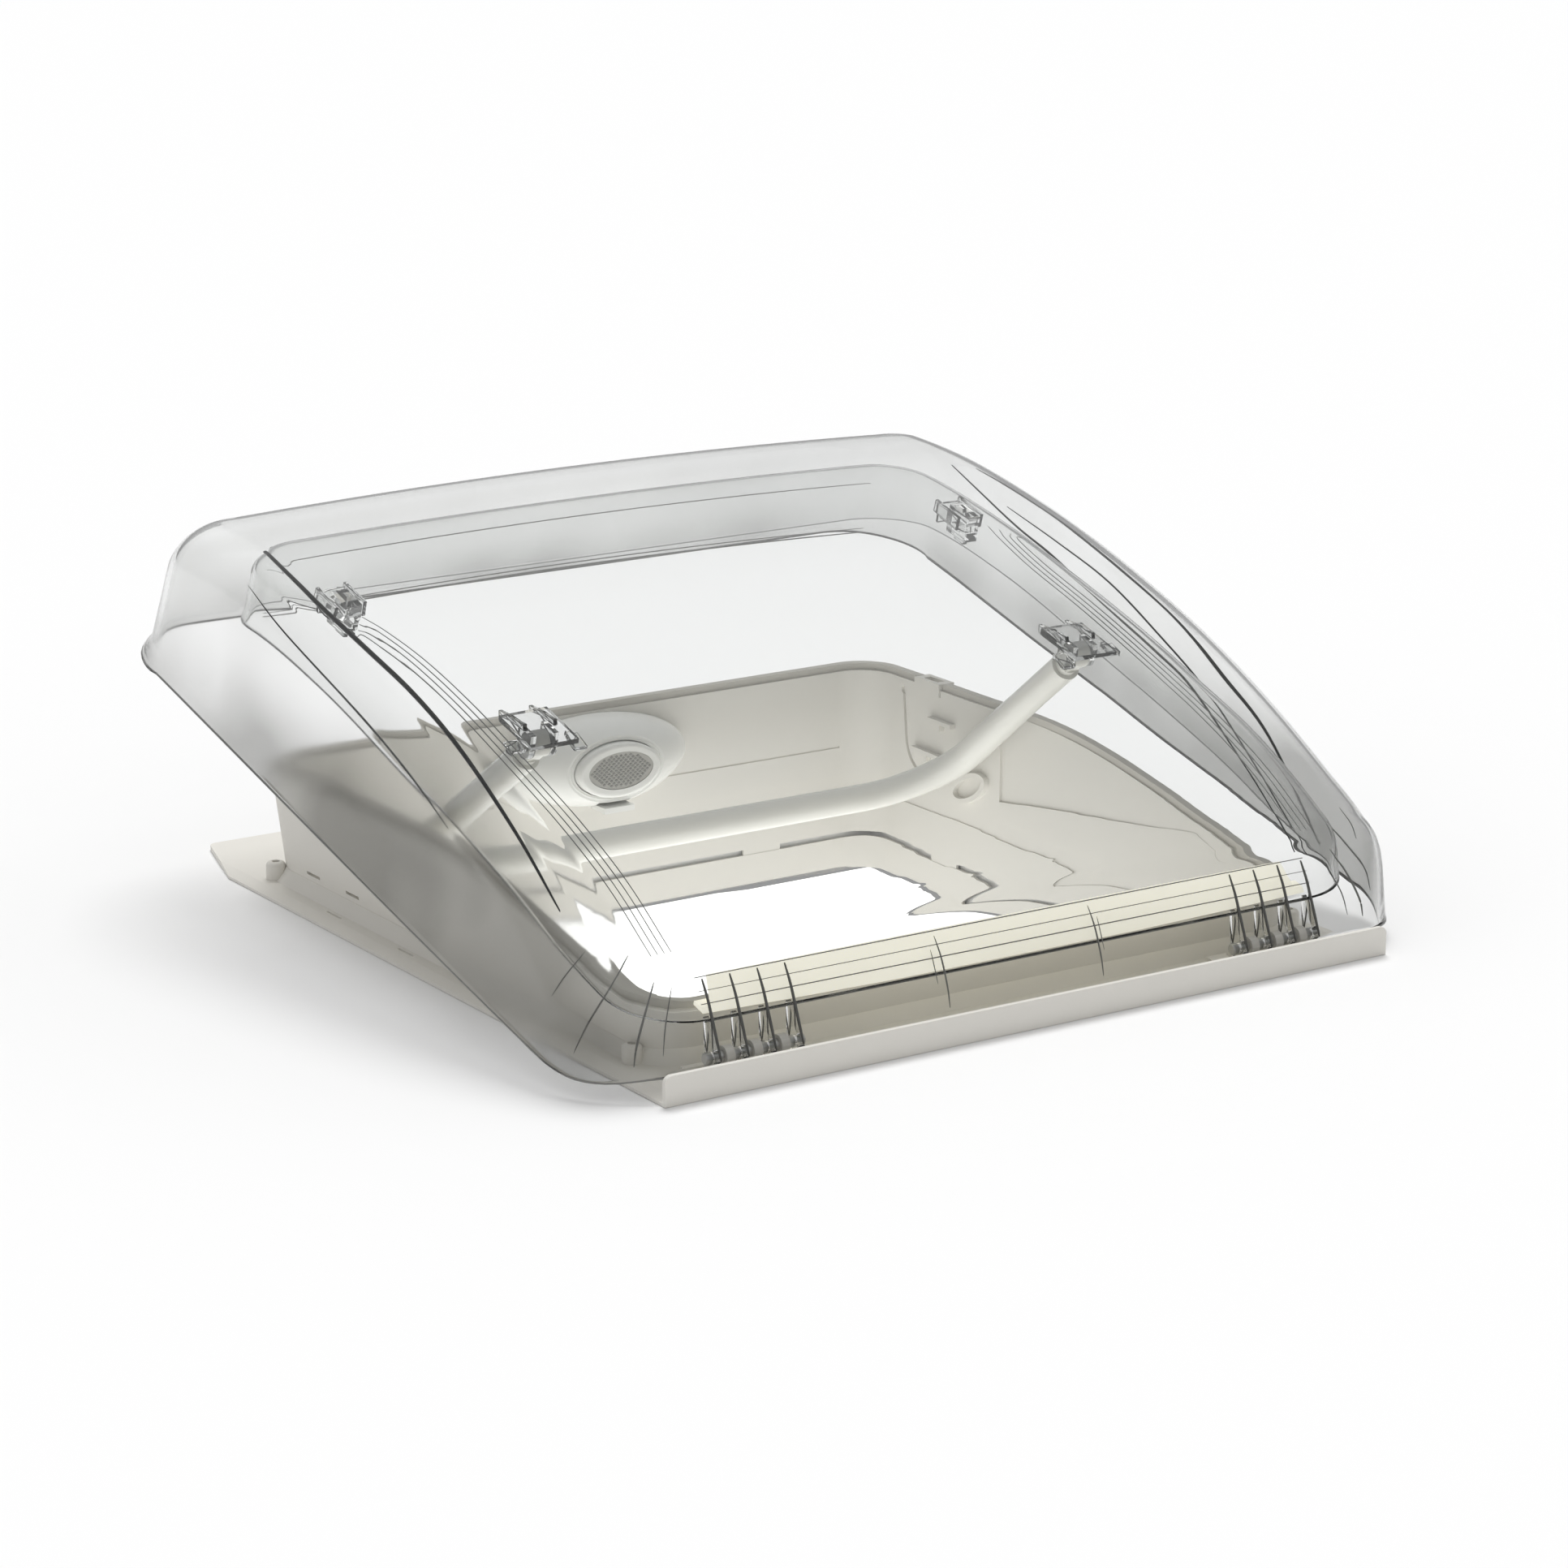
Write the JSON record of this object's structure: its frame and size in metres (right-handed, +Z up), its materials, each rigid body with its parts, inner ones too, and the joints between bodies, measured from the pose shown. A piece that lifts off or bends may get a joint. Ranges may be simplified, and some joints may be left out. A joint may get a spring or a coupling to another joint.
{
  "type": "roof vent cover",
  "caption": "Hinged clear double-walled roof vent on a square wedge-shaped frame with a flange, a prop bow and a push-button latch.",
  "frame": {"origin": "centre of the square roof cut-out, level with the underside of the mounting flange, which lies on the roof", "axes": "+Z up out of the roof, +Y towards the edge of the lid that opens, +X to the right seen from the hinge side, along the hinge axis"},
  "size_m": [0.52, 0.523, 0.2632],
  "materials": {
    "clear_lid": "clear polished acrylic",
    "cream_plastic": "fine satin moulded plastic",
    "white_plastic": "satin moulded plastic",
    "bow_plastic": "satin coated tube",
    "grey_pad": "soft pad with a diamond texture",
    "rubber_seal": "pale soft seal",
    "steel": "bright steel"
  },
  "bodies": {
    "frame": {"mounting_flange": "cream_plastic", "collar": "cream_plastic", "collar_seal": "rubber_seal", "screw_bosses": "cream_plastic", "claw_keepers": "cream_plastic", "inner_liner": "cream_plastic", "ceiling_frame": "cream_plastic", "liner_clips": "cream_plastic", "bow_socket_left": "cream_plastic", "bow_socket_right": "cream_plastic", "wall_catches": "cream_plastic", "hinge_block_left": "cream_plastic", "hinge_block_right": "cream_plastic", "hinge_pin_left": "steel", "hinge_pin_right": "steel", "lock_housing": "white_plastic"},
    "lid": {"lid_outer": "clear_lid", "lid_inner": "clear_lid", "lid_shelf": "clear_lid", "front_strip": "cream_plastic", "hinge_lugs_left": "clear_lid", "hinge_lugs_right": "clear_lid", "bow_bracket_left": "clear_lid", "bow_bracket_right": "clear_lid", "bow_pin_left": "steel", "bow_pin_right": "steel", "rear_claw_left": "clear_lid", "rear_claw_right": "clear_lid"},
    "bow": {"bow_tube": "bow_plastic", "bow_eye_left": "bow_plastic", "bow_eye_right": "bow_plastic"},
    "button": {"push_button": "white_plastic", "button_pad": "grey_pad", "latch_tongue": "white_plastic", "button_spring": "steel"}
  },
  "joints": [
    {"name": "lid_hinge", "type": "hinge", "parent": "frame", "child": "lid", "pos_m": [0, -0.232, 0.0135], "axis": [1, 0, 0], "range_deg": [-14.3, 35.7]},
    {"name": "bow_pivot", "type": "hinge", "parent": "lid", "child": "bow", "pos_m": [0, -0.04113, 0.125], "axis": [1, 0, 0], "range_deg": [-77.8, 31.2]},
    {"name": "button_press", "type": "slide", "parent": "frame", "child": "button", "axis": [0, 1, 0], "range_m": [0, 0.004], "stiffness_N_per_m": 900}
  ],
  "couplings": [
    {"joint": "bow_pivot", "follows": "lid_hinge", "ratio": -2.1766}
  ]
}
